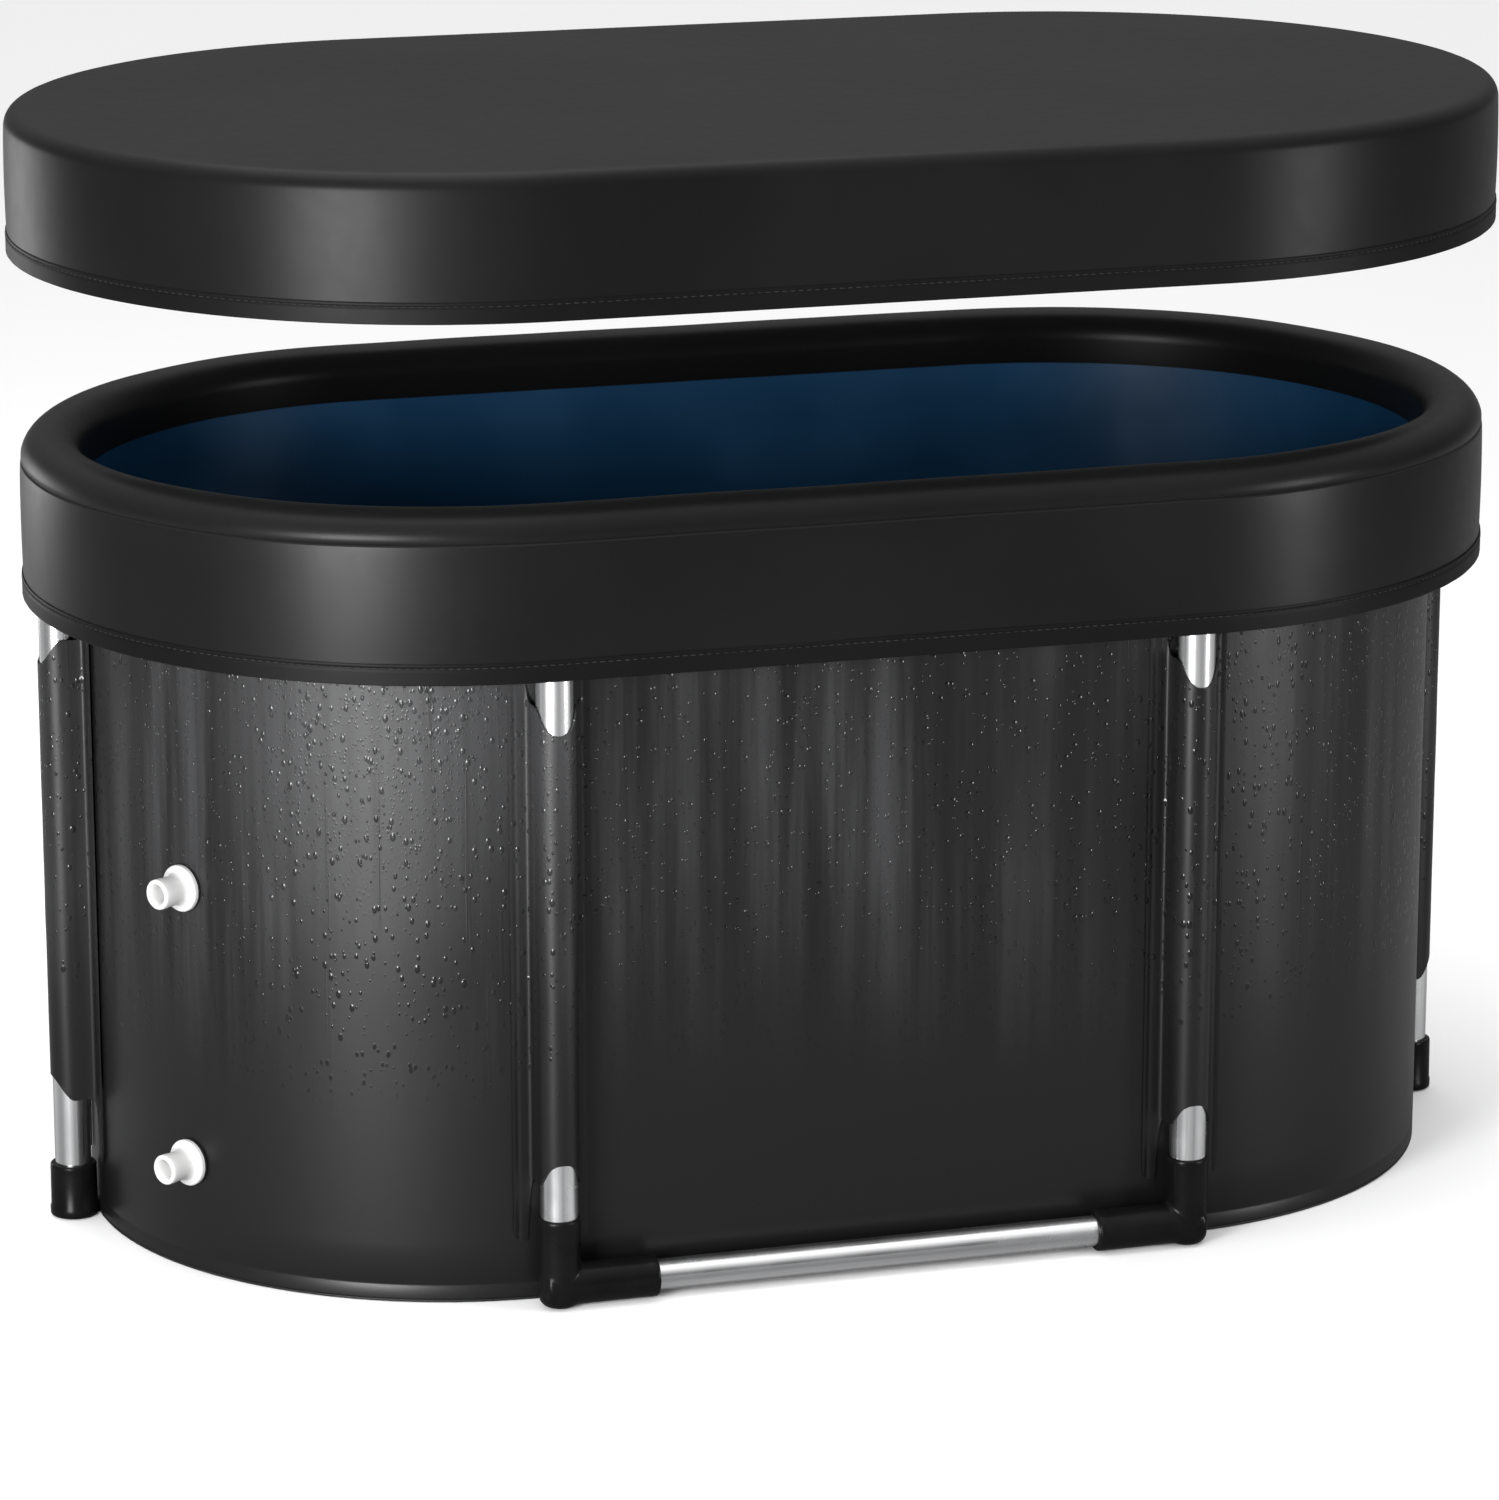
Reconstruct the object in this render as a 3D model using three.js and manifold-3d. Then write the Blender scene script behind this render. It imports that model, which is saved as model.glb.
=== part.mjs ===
import * as THREE from 'three';
import { mergeVertices } from 'three/addons/utils/BufferGeometryUtils.js';
import Module from 'manifold-3d';

const wasm = await Module();
wasm.setup();

// Driving sizes in millimetres, with +Z up and the long way of the tub along X
const halfStraight = 265;
const collarRadius = 351;
const rimHeight = 653;
const fitGap = 0.3;

// Soft shell
const fabric = 2;
const beadRadius = 25;
const collarDrop = 135;
const collarFlap = 20;
const hemHeight = 17;
const hemThick = 1.2;
const linerThick = 1.5;
const foamThick = 2.6;
const wallTopDrop = 40;
const floorPadThick = 5;

// Frame tubes and their joints
const legDiameter = 30;
const railDiameter = 25;
const tubeWall = 1.2;
const jointWall = 1.9;
const jointToShell = 1.5;
const railBoreGap = 1.7;
const teeReach = 62;
const teeSocket = 36;
const teeWeb = 7;
const railEndGap = 6;
const elbowHeight = 75;
const elbowReach = 80;
const elbowRailStart = 21;
const elbowWeb = 1;
const footCapWall = 4.4;
const footCapHeight = 45;
const footCapFloor = 8;

// Snap buttons that lock the legs into the tees
const buttonRadius = 3;
const buttonProud = 1.8;
const buttonLength = 9;
const buttonDrop = 18;

// Leg sleeves
const sleeveFabric = 1.3;
const sleeveGap = 0.4;
const sleeveFlange = 15.8;
const sleeveBottom = 50;
const sleeveTuck = 32;
const scallopSide = 3.8;
const topScallopDepth = 78;
const bottomScallopDepth = 72;

// Hose spouts
const portAngle = 32;
const portHeights = { upper: 322, drain: 92 };
const portFlangeRadius = 19;
const portFlangeThick = 4;
const spoutRadius = 12;
const spoutLength = 24;
const shoulderRadius = 16.5;
const shoulderLength = 7;
const spoutBore = 6.75;
const gasketThick = 1.6;
const nutRadius = 18;
const nutThick = 8;

// Lid
const lidHover = 148;
const lidHeight = 115;
const lidFit = 1;
const lidEdge = 14;
const lidCrown = 3;
const lidPadThick = 12;
const lidPadInset = 16;

// Sizes that follow from the ones above
const collarBottom = rimHeight - collarDrop;
const skirtInner = collarRadius - fabric;
const beadCentre = collarRadius - beadRadius;
const beadHeight = rimHeight - beadRadius;
const flapInner = beadCentre - beadRadius;
const linerInner = flapInner + fabric + fitGap;
const linerOuter = linerInner + linerThick;
const foamInner = linerOuter + fitGap;
const foamOuter = foamInner + foamThick;
const wallInner = foamOuter + fitGap;
const wallOuter = wallInner + fabric;
const wallTop = rimHeight - wallTopDrop;
const wallBottom = fabric + fitGap;
const legRadius = legDiameter / 2;
const railRadius = railDiameter / 2;
const railBore = railRadius + railBoreGap;
const legBore = legRadius + fitGap * 2;
const jointRadius = legBore + jointWall;
const frameRadius = skirtInner - jointToShell - jointRadius;
const footCapRadius = legBore + footCapWall;
const sleeveRound = legRadius + sleeveGap;
const sleeveRoundOuter = sleeveRound + sleeveFabric;
const sleeveHalfWidth = sleeveRoundOuter + sleeveFlange;
const scallopHalfWidth = sleeveRoundOuter + scallopSide;
const sleeveTop = collarBottom + sleeveTuck;
const socketBottom = beadHeight - jointRadius - teeSocket;
const socketTop = beadHeight - railBore - teeWeb;
const legTop = socketTop - fitGap;
const bottomRailHeight = jointRadius;
const elbowSeat = bottomRailHeight + jointRadius + elbowWeb;
const buttonHeight = socketBottom + buttonDrop;
const flangeInner = wallOuter + fitGap;
const floorPadBottom = fabric + fitGap;
const floorLinerBottom = floorPadBottom + floorPadThick + fitGap;
const floorRadius = linerInner - fitGap;
const collarHemOuter = collarRadius + fitGap + hemThick;
const lidInner = collarHemOuter + lidFit;
const lidOuter = lidInner + fabric;
const lidRise = rimHeight + lidHover;
const lidTop = lidRise + lidHeight;
const holeRadius = spoutRadius + fitGap;
const cutPast = 2;

// How finely round shapes are faceted
const ovalSteps = 20;
const tubeSides = 16;
const railSides = 14;
const railSteps = 12;
const teeSteps = 4;
const portSides = 24;

// Materials
function finish(name, color, roughness, metalness = 0) {
  return new THREE.MeshStandardMaterial({ name, color, roughness, metalness });
}

const materials = {
  lidFabric: finish('lid_fabric', 0x3f3e40, 0.6),
  collarFabric: finish('collar_fabric', 0x4c4c4e, 0.55),
  wallSheet: finish('wall_sheet', 0x242425, 0.4),
  linerSheet: finish('liner_sheet', 0x143349, 0.4),
  foam: finish('foam', 0xc9ccce, 0.9),
  steel: finish('steel', 0xc9cbce, 0.22, 1),
  jointPlastic: finish('joint_plastic', 0x131314, 0.42),
  portPlastic: finish('port_plastic', 0xdcdcda, 0.35),
  gasketRubber: finish('gasket_rubber', 0x1a1a1a, 0.8),
};

// Solids
function toSolid(geometry) {
  const bare = geometry.clone();
  bare.deleteAttribute('normal');
  bare.deleteAttribute('uv');
  const joined = mergeVertices(bare, 1e-4);
  const mesh = new wasm.Mesh({
    numProp: 3,
    vertProperties: new Float32Array(joined.attributes.position.array),
    triVerts: new Uint32Array(joined.index.array),
  });
  return new wasm.Manifold(mesh);
}

function toGeometry(solid) {
  const mesh = solid.getMesh();
  const geometry = new THREE.BufferGeometry();
  geometry.setAttribute('position', new THREE.BufferAttribute(new Float32Array(mesh.vertProperties), 3));
  geometry.setIndex(new THREE.BufferAttribute(new Uint32Array(mesh.triVerts), 1));
  geometry.computeVertexNormals();
  return geometry;
}

function signedVolume(position, index) {
  const a = new THREE.Vector3();
  const b = new THREE.Vector3();
  const c = new THREE.Vector3();
  let sum = 0;
  for (let i = 0; i < index.length; i += 3) {
    a.fromBufferAttribute(position, index[i]);
    b.fromBufferAttribute(position, index[i + 1]);
    c.fromBufferAttribute(position, index[i + 2]);
    sum += a.dot(b.cross(c));
  }
  return sum / 6;
}

// An oval ring or disc: two half turns of a profile, moved apart and joined by straight sides
function oval(profile) {
  const points = profile.map(([radius, height]) => new THREE.Vector2(radius, height));
  const right = new THREE.LatheGeometry(points, ovalSteps, 0, Math.PI);
  const left = new THREE.LatheGeometry(points, ovalSteps, Math.PI, Math.PI);
  right.translate(halfStraight, 0, 0);
  left.translate(-halfStraight, 0, 0);
  const positions = [...right.attributes.position.array, ...left.attributes.position.array];
  const stations = (ovalSteps + 1) * 2;
  const count = points.length;
  const index = [];
  for (let station = 0; station < stations; station += 1) {
    const next = (station + 1) % stations;
    for (let place = 0; place < count; place += 1) {
      const after = (place + 1) % count;
      const corner = station * count + place;
      const along = next * count + place;
      const across = station * count + after;
      const far = next * count + after;
      index.push(corner, along, far, corner, far, across);
    }
  }
  const grid = new THREE.BufferGeometry();
  grid.setAttribute('position', new THREE.Float32BufferAttribute(positions, 3));
  grid.setIndex(index);
  grid.rotateX(Math.PI / 2);
  const joined = mergeVertices(grid, 1e-3);
  const source = joined.index.array;
  const kept = [];
  for (let i = 0; i < source.length; i += 3) {
    const [a, b, c] = [source[i], source[i + 1], source[i + 2]];
    if (a !== b && b !== c && c !== a) {
      kept.push(a, b, c);
    }
  }
  if (signedVolume(joined.attributes.position, kept) < 0) {
    kept.reverse();
  }
  joined.setIndex(kept);
  return joined;
}

function ovalSheet(inner, outer, bottom, top) {
  return oval([[outer, bottom], [outer, top], [inner, top], [inner, bottom]]);
}

function ovalPlate(radius, bottom, top) {
  return oval([[0, bottom], [radius, bottom], [radius, top], [0, top]]);
}

function arcPoints(centreRadius, centreHeight, radius, from, to, steps) {
  const points = [];
  for (let i = 0; i <= steps; i += 1) {
    const angle = THREE.MathUtils.degToRad(from + (to - from) * i / steps);
    points.push([centreRadius + radius * Math.cos(angle), centreHeight + radius * Math.sin(angle)]);
  }
  return points;
}

// Cylinders stand on their base and run up Z, then are turned and placed
function cylinder(radius, bottom, top, sides = tubeSides, topRadius = radius) {
  const geometry = new THREE.CylinderGeometry(topRadius, radius, top - bottom, sides);
  geometry.rotateX(Math.PI / 2);
  geometry.translate(0, 0, (top + bottom) / 2);
  return geometry;
}

function pipe(outer, inner, bottom, top, sides = tubeSides) {
  const cut = toSolid(cylinder(inner, bottom - cutPast, top + cutPast, sides));
  return toSolid(cylinder(outer, bottom, top, sides)).subtract(cut);
}

// The line of the top frame, measured along it from the middle of the front side
class FrameLine extends THREE.Curve {
  constructor(start, end) {
    super();
    this.start = start;
    this.end = end;
  }

  getPoint(share, target = new THREE.Vector3()) {
    const arc = Math.PI * frameRadius;
    const lap = 4 * halfStraight + 2 * arc;
    const along = (((this.start + (this.end - this.start) * share) % lap) + lap) % lap;
    if (along <= halfStraight) {
      return target.set(along, -frameRadius, beadHeight);
    }
    if (along <= halfStraight + arc) {
      const turn = (along - halfStraight) / frameRadius;
      const [out, over] = [frameRadius * Math.sin(turn), frameRadius * Math.cos(turn)];
      return target.set(halfStraight + out, -over, beadHeight);
    }
    if (along <= 3 * halfStraight + arc) {
      return target.set(2 * halfStraight + arc - along, frameRadius, beadHeight);
    }
    if (along <= 3 * halfStraight + 2 * arc) {
      const turn = (along - 3 * halfStraight - arc) / frameRadius;
      const [out, over] = [frameRadius * Math.sin(turn), frameRadius * Math.cos(turn)];
      return target.set(-halfStraight - out, over, beadHeight);
    }
    return target.set(along - lap, -frameRadius, beadHeight);
  }
}

function sweep(radius, start, end, steps, bore = 0) {
  const shape = new THREE.Shape();
  shape.absarc(0, 0, radius, 0, Math.PI * 2, false);
  if (bore > 0) {
    const hole = new THREE.Path();
    hole.absarc(0, 0, bore, 0, Math.PI * 2, true);
    shape.holes.push(hole);
  }
  return new THREE.ExtrudeGeometry(shape, {
    steps,
    curveSegments: railSides / 2,
    extrudePath: new FrameLine(start, end),
  });
}

// Where the legs stand: name, place along the frame line, plan position and outward direction
const quarter = Math.PI * frameRadius / 2;
const side = halfStraight;
const end = halfStraight + frameRadius;
const depth = frameRadius;
const stands = [
  { name: 'front_left', along: -side, x: -side, y: -depth, facing: -90, rail: 1 },
  { name: 'front_right', along: side, x: side, y: -depth, facing: -90, rail: -1 },
  { name: 'right_end', along: side + quarter, x: end, y: 0, facing: 0, rail: 0 },
  { name: 'back_right', along: side + 2 * quarter, x: side, y: depth, facing: 90, rail: -1 },
  { name: 'back_left', along: 3 * side + 2 * quarter, x: -side, y: depth, facing: 90, rail: 1 },
  { name: 'left_end', along: 3 * side + 3 * quarter, x: -end, y: 0, facing: 180, rail: 0 },
];

// Turns a piece made with its outward side along +X and puts it at a leg
function atStand(geometry, stand) {
  geometry.rotateZ(THREE.MathUtils.degToRad(stand.facing));
  geometry.translate(stand.x, stand.y, 0);
  return geometry;
}

const group = new THREE.Group();
group.name = 'cold_plunge_tub';

function put(name, geometry, material) {
  const mesh = new THREE.Mesh(geometry, material);
  mesh.name = name;
  group.add(mesh);
}

// Lid
const lidProfile = [
  [lidOuter, lidRise],
  ...arcPoints(lidOuter - lidEdge, lidTop - lidEdge, lidEdge, 0, 90, 5),
  [lidOuter * 0.5, lidTop + lidCrown * 0.75],
  [0, lidTop + lidCrown],
  [0, lidTop + lidCrown - fabric],
  [lidOuter * 0.5, lidTop + lidCrown * 0.75 - fabric],
  ...arcPoints(lidOuter - lidEdge, lidTop - lidEdge, lidEdge - fabric, 90, 0, 5),
  [lidInner, lidRise],
];
put('lid_cover', oval(lidProfile), materials.lidFabric);
const lidPadTop = lidTop - fabric - fitGap;
const lidPad = ovalPlate(lidInner - lidPadInset, lidPadTop - lidPadThick, lidPadTop);
put('lid_insulation_pad', lidPad, materials.foam);
const lidHem = ovalSheet(lidOuter + fitGap, lidOuter + fitGap + hemThick, lidRise, lidRise + hemHeight);
put('lid_hem', lidHem, materials.lidFabric);

// Rim collar: the skirt goes up into a rolled bead and ends in a short flap inside the tub
const collarProfile = [
  [collarRadius, collarBottom],
  ...arcPoints(beadCentre, beadHeight, beadRadius, 0, 180, 10),
  [flapInner, beadHeight - collarFlap],
  [flapInner + fabric, beadHeight - collarFlap],
  ...arcPoints(beadCentre, beadHeight, beadRadius - fabric, 180, 0, 10),
  [skirtInner, collarBottom],
];
put('rim_collar', oval(collarProfile), materials.collarFabric);
const collarHem = ovalSheet(collarRadius + fitGap, collarHemOuter, collarBottom, collarBottom + hemHeight);
put('collar_hem', collarHem, materials.collarFabric);

// Hose spouts go through the wall on the front of the left end
const portTurn = THREE.MathUtils.degToRad(180 + portAngle);
function atPort(geometry, height) {
  geometry.rotateY(Math.PI / 2);
  geometry.rotateZ(portTurn);
  geometry.translate(-halfStraight, 0, height);
  return geometry;
}

function withPortHoles(geometry) {
  let solid = toSolid(geometry);
  for (const height of Object.values(portHeights)) {
    const cut = atPort(cylinder(holeRadius, flapInner - nutThick, wallOuter + gasketThick), height);
    solid = solid.subtract(toSolid(cut));
  }
  return toGeometry(solid);
}

// Walls and floor
const wallSheet = ovalSheet(wallInner, wallOuter, wallBottom, wallTop);
put('outer_wall', withPortHoles(wallSheet), materials.wallSheet);
const foamSheet = ovalSheet(foamInner, foamOuter, wallBottom, wallTop);
put('wall_foam', withPortHoles(foamSheet), materials.foam);
const linerSheet = ovalSheet(linerInner, linerOuter, wallBottom, wallTop);
put('inner_liner', withPortHoles(linerSheet), materials.linerSheet);
put('base_sheet', ovalPlate(wallOuter, 0, fabric), materials.wallSheet);
put('floor_pad', ovalPlate(floorRadius, floorPadBottom, floorPadBottom + floorPadThick), materials.foam);
const floorSheet = ovalPlate(floorRadius, floorLinerBottom, floorLinerBottom + linerThick);
put('floor_liner', floorSheet, materials.linerSheet);

// Frame joints, legs, snap buttons and sleeves
function buttonHole(radius) {
  const hole = cylinder(radius, 0, jointRadius * 2, railSides);
  hole.rotateY(-Math.PI / 2);
  hole.translate(0, 0, buttonHeight);
  return hole;
}

function makeTee(stand) {
  const outer = toSolid(sweep(jointRadius, stand.along - teeReach, stand.along + teeReach, teeSteps));
  const socket = toSolid(atStand(cylinder(jointRadius, socketBottom, beadHeight), stand));
  const reach = teeReach + cutPast;
  const railCut = toSolid(sweep(railBore, stand.along - reach, stand.along + reach, teeSteps));
  const legCut = toSolid(atStand(cylinder(legBore, socketBottom - cutPast, socketTop), stand));
  const holeCut = toSolid(atStand(buttonHole(buttonRadius + fitGap), stand));
  return toGeometry(outer.add(socket).subtract(railCut).subtract(legCut).subtract(holeCut));
}

function makeLeg(stand) {
  const bottom = stand.rail === 0 ? footCapFloor + fitGap : elbowSeat + fitGap;
  const holeCut = toSolid(buttonHole(buttonRadius + fitGap));
  const leg = pipe(legRadius, legRadius - tubeWall, bottom, legTop).subtract(holeCut);
  return atStand(toGeometry(leg), stand);
}

function makeButton(stand) {
  const tip = jointRadius + buttonProud;
  const rise = buttonProud;
  const outline = [
    new THREE.Vector2(0, tip - buttonLength),
    new THREE.Vector2(buttonRadius, tip - buttonLength),
    new THREE.Vector2(buttonRadius, tip - rise),
    new THREE.Vector2(buttonRadius * 0.8, tip - rise * 0.35),
    new THREE.Vector2(0, tip),
  ];
  const pin = new THREE.LatheGeometry(outline, railSides);
  pin.rotateZ(Math.PI / 2);
  pin.translate(0, 0, buttonHeight);
  return atStand(toGeometry(toSolid(pin)), stand);
}

function makeSleeve(stand) {
  const back = flangeInner - frameRadius;
  const front = back + sleeveFabric;
  const shape = new THREE.Shape();
  shape.moveTo(back, -sleeveHalfWidth);
  shape.lineTo(front, -sleeveHalfWidth);
  shape.lineTo(front, -sleeveRoundOuter);
  shape.absarc(0, 0, sleeveRoundOuter, -Math.PI / 2, Math.PI / 2, false);
  shape.lineTo(front, sleeveRoundOuter);
  shape.lineTo(front, sleeveHalfWidth);
  shape.lineTo(back, sleeveHalfWidth);
  shape.lineTo(back, sleeveRound);
  shape.lineTo(0, sleeveRound);
  shape.absarc(0, 0, sleeveRound, Math.PI / 2, -Math.PI / 2, true);
  shape.lineTo(back, -sleeveRound);
  const channel = new THREE.ExtrudeGeometry(shape, {
    depth: sleeveTop - sleeveBottom,
    bevelEnabled: false,
    curveSegments: 6,
  });
  channel.translate(0, 0, sleeveBottom);
  const scallop = (depth) => {
    const outline = new THREE.Shape();
    outline.absellipse(0, 0, depth, scallopHalfWidth, 0, Math.PI * 2, false, 0);
    const cutter = new THREE.ExtrudeGeometry(outline, {
      depth: jointRadius * 4,
      bevelEnabled: false,
      curveSegments: 10,
    });
    cutter.rotateY(Math.PI / 2);
    cutter.translate(-jointRadius * 2, 0, 0);
    return cutter;
  };
  const topCut = toSolid(scallop(topScallopDepth).translate(0, 0, sleeveTop));
  const bottomCut = toSolid(scallop(bottomScallopDepth).translate(0, 0, sleeveBottom));
  return atStand(toGeometry(toSolid(channel).subtract(topCut).subtract(bottomCut)), stand);
}

function makeElbow(stand) {
  const upright = toSolid(cylinder(jointRadius, 0, elbowHeight));
  const along = (radius, from, to) => {
    const arm = cylinder(radius, from, to);
    arm.rotateY(stand.rail * Math.PI / 2);
    arm.translate(0, 0, bottomRailHeight);
    return toSolid(arm);
  };
  const arm = along(jointRadius, 0, elbowReach);
  const legCut = toSolid(cylinder(legBore, elbowSeat, elbowHeight + cutPast));
  const railCut = along(railRadius + fitGap * 2, elbowRailStart - fitGap, elbowReach + cutPast);
  const elbow = toGeometry(upright.add(arm).subtract(legCut).subtract(railCut));
  elbow.translate(stand.x, stand.y, 0);
  return elbow;
}

function makeFootCap(stand) {
  const cap = toSolid(cylinder(footCapRadius, 0, footCapHeight));
  const legCut = toSolid(cylinder(legBore, footCapFloor, footCapHeight + cutPast));
  return atStand(toGeometry(cap.subtract(legCut)), stand);
}

for (const stand of stands) {
  put(`leg_sleeve_${stand.name}`, makeSleeve(stand), materials.wallSheet);
  put(`leg_${stand.name}`, makeLeg(stand), materials.steel);
  put(`frame_tee_${stand.name}`, makeTee(stand), materials.jointPlastic);
  put(`snap_button_${stand.name}`, makeButton(stand), materials.steel);
  if (stand.rail === 0) {
    put(`foot_cap_${stand.name}`, makeFootCap(stand), materials.jointPlastic);
  } else {
    put(`foot_elbow_${stand.name}`, makeElbow(stand), materials.jointPlastic);
  }
}

// Top rails run between the tees
stands.forEach((stand, place) => {
  const next = stands[(place + 1) % stands.length];
  const lap = place === stands.length - 1 ? 4 * halfStraight + 4 * quarter : 0;
  const straight = stand.y !== 0 && stand.y === next.y;
  const from = stand.along + railEndGap;
  const to = next.along + lap - railEndGap;
  const rail = sweep(railRadius, from, to, straight ? 1 : railSteps, railRadius - tubeWall);
  const face = stand.y < 0 ? 'front' : 'back';
  const name = straight ? `top_rail_${face}` : `top_rail_${stand.name}_to_${next.name}`;
  put(name, toGeometry(toSolid(rail)), materials.steel);
});

// Bottom rails run between the foot elbows
for (const [face, y] of [['front', -frameRadius], ['back', frameRadius]]) {
  const reach = halfStraight - elbowRailStart;
  const rail = toGeometry(pipe(railRadius, railRadius - tubeWall, -reach, reach));
  rail.rotateY(Math.PI / 2);
  rail.translate(0, y, bottomRailHeight);
  put(`bottom_rail_${face}`, rail, materials.steel);
}

// Hose spouts, each with a gasket outside the wall and a lock nut inside the tub
const gasketStart = wallOuter + fitGap;
const flangeStart = gasketStart + gasketThick + fitGap;
const facetDip = linerInner * (1 - Math.cos(Math.PI / (2 * ovalSteps)));
const nutEnd = Math.sqrt(linerInner ** 2 - nutRadius ** 2) - facetDip - fitGap;
const stemStart = nutEnd - nutThick - cutPast;
const flangeEnd = flangeStart + portFlangeThick;
const spoutEnd = flangeEnd + spoutLength;
for (const [name, height] of Object.entries(portHeights)) {
  const flange = toSolid(cylinder(portFlangeRadius, flangeStart, flangeEnd, portSides));
  const stem = toSolid(cylinder(spoutRadius, stemStart, spoutEnd, portSides));
  const bore = toSolid(cylinder(spoutBore, stemStart - cutPast, spoutEnd + cutPast));
  const shoulderEnd = flangeEnd + shoulderLength;
  const shoulder = toSolid(cylinder(shoulderRadius, flangeStart, shoulderEnd, portSides, spoutRadius));
  const spout = toGeometry(flange.add(stem).add(shoulder).subtract(bore));
  put(`${name}_spout`, atPort(spout, height), materials.portPlastic);
  const gasket = pipe(portFlangeRadius, holeRadius, gasketStart, gasketStart + gasketThick, portSides);
  put(`${name}_gasket`, atPort(toGeometry(gasket), height), materials.gasketRubber);
  const hexagon = toSolid(cylinder(nutRadius, nutEnd - nutThick, nutEnd, 6));
  const nutBore = toSolid(cylinder(spoutRadius + fitGap * 2, 0, collarRadius, portSides));
  put(`${name}_lock_nut`, atPort(toGeometry(hexagon.subtract(nutBore)), height), materials.portPlastic);
}

export default group;
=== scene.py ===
import bpy
import bmesh
import math
from mathutils import Matrix, Vector, noise


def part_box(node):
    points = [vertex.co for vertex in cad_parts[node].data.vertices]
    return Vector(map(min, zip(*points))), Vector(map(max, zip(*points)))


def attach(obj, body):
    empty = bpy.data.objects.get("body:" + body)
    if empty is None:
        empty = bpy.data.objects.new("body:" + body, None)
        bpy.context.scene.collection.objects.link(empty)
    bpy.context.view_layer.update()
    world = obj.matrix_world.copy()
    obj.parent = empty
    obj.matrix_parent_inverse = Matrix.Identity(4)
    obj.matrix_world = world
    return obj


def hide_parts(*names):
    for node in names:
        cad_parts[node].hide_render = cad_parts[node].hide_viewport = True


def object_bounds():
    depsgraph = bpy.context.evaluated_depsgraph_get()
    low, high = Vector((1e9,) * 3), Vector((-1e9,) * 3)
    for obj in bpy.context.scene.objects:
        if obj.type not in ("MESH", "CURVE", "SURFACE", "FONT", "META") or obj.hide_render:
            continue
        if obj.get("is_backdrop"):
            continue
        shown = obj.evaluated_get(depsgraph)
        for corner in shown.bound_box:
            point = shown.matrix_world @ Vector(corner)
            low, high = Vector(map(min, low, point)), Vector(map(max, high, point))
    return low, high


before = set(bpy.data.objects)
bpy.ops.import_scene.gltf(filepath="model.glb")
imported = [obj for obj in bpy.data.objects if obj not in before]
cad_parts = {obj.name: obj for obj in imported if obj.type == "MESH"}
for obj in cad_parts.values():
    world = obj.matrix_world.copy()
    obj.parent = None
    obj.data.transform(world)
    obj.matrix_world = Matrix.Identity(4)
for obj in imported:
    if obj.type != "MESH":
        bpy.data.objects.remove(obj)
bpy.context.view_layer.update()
print("frame loaded,", len(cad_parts), "nodes")


# where things are, read from the frame

def nodeBox(node):
    low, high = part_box(node)
    return Vector(low), Vector(high)


def outerRadius(node):  # an oval's half width is its end radius
    low, high = nodeBox(node)
    return (high.y - low.y) / 2


def bottomOf(node):
    return nodeBox(node)[0].z


def topOf(node):
    return nodeBox(node)[1].z


def middleOf(node):
    low, high = nodeBox(node)
    return (low + high) / 2


collarHigh = nodeBox("rim_collar")[1]
collarRadius = collarHigh.y
halfStraight = collarHigh.x - collarHigh.y
facing = {"front_left": -90, "front_right": -90, "right_end": 0,
          "back_right": 90, "back_left": 90, "left_end": 180}  # the way out at each leg, in degrees
legPlaces = list(facing)


def put(name, data):
    thing = bpy.data.objects.new(name, data)
    bpy.context.scene.collection.objects.link(thing)
    return thing


# shader nodes

mixPlaces = {"RGBA": (0, 6, 7, 2), "FLOAT": (0, 2, 3, 0)}  # a Mix node's share, two ends and result
noiseSpan = (0.3, 0.7)  # most values of a noise texture lie in this


def add(tree, kind, inputs=None, **settings):
    node = tree.nodes.new(kind)
    for key, value in settings.items():
        setattr(node, key, value)
    for key, value in (inputs or {}).items():
        if isinstance(value, bpy.types.NodeSocket):
            tree.links.new(value, node.inputs[key])
        else:
            node.inputs[key].default_value = value
    return node


def stretch(tree, vector, scale):  # the same coordinates, scaled on each axis
    return add(tree, "ShaderNodeMapping", {"Vector": vector, "Scale": scale}).outputs["Vector"]


def cloud(tree, vector, kind, scale=1.0):  # noise, drawn out where the kind says so
    if "stretch" in kind:
        vector = stretch(tree, vector, kind["stretch"])
    inputs = {"Vector": vector, "Scale": kind.get("scale", scale), "Detail": kind["detail"],
              "Roughness": kind.get("roughness", 0.5)}
    return add(tree, "ShaderNodeTexNoise", inputs).outputs["Fac"]


def ramp(tree, value, low, high, toLow=0.0, toHigh=1.0):
    inputs = {"Value": value, "From Min": low, "From Max": high, "To Min": toLow, "To Max": toHigh}
    node = add(tree, "ShaderNodeMapRange", inputs)
    node.interpolation_type = "SMOOTHSTEP"
    return node.outputs["Result"]


def sums(tree, operation, first, second):
    return add(tree, "ShaderNodeMath", {0: first, 1: second}, operation=operation).outputs["Value"]


def times(tree, first, *others):
    for other in others:
        first = sums(tree, "MULTIPLY", first, other)
    return first


def blend(tree, kind, share, first, second):
    shareIn, firstIn, secondIn, result = mixPlaces[kind]
    inputs = {shareIn: share, firstIn: first, secondIn: second}
    return add(tree, "ShaderNodeMix", inputs, data_type=kind).outputs[result]


def blendColour(tree, share, *ends):
    ends = [end if isinstance(end, bpy.types.NodeSocket) else (*end, 1) for end in ends]
    return blend(tree, "RGBA", share, *ends)


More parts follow.
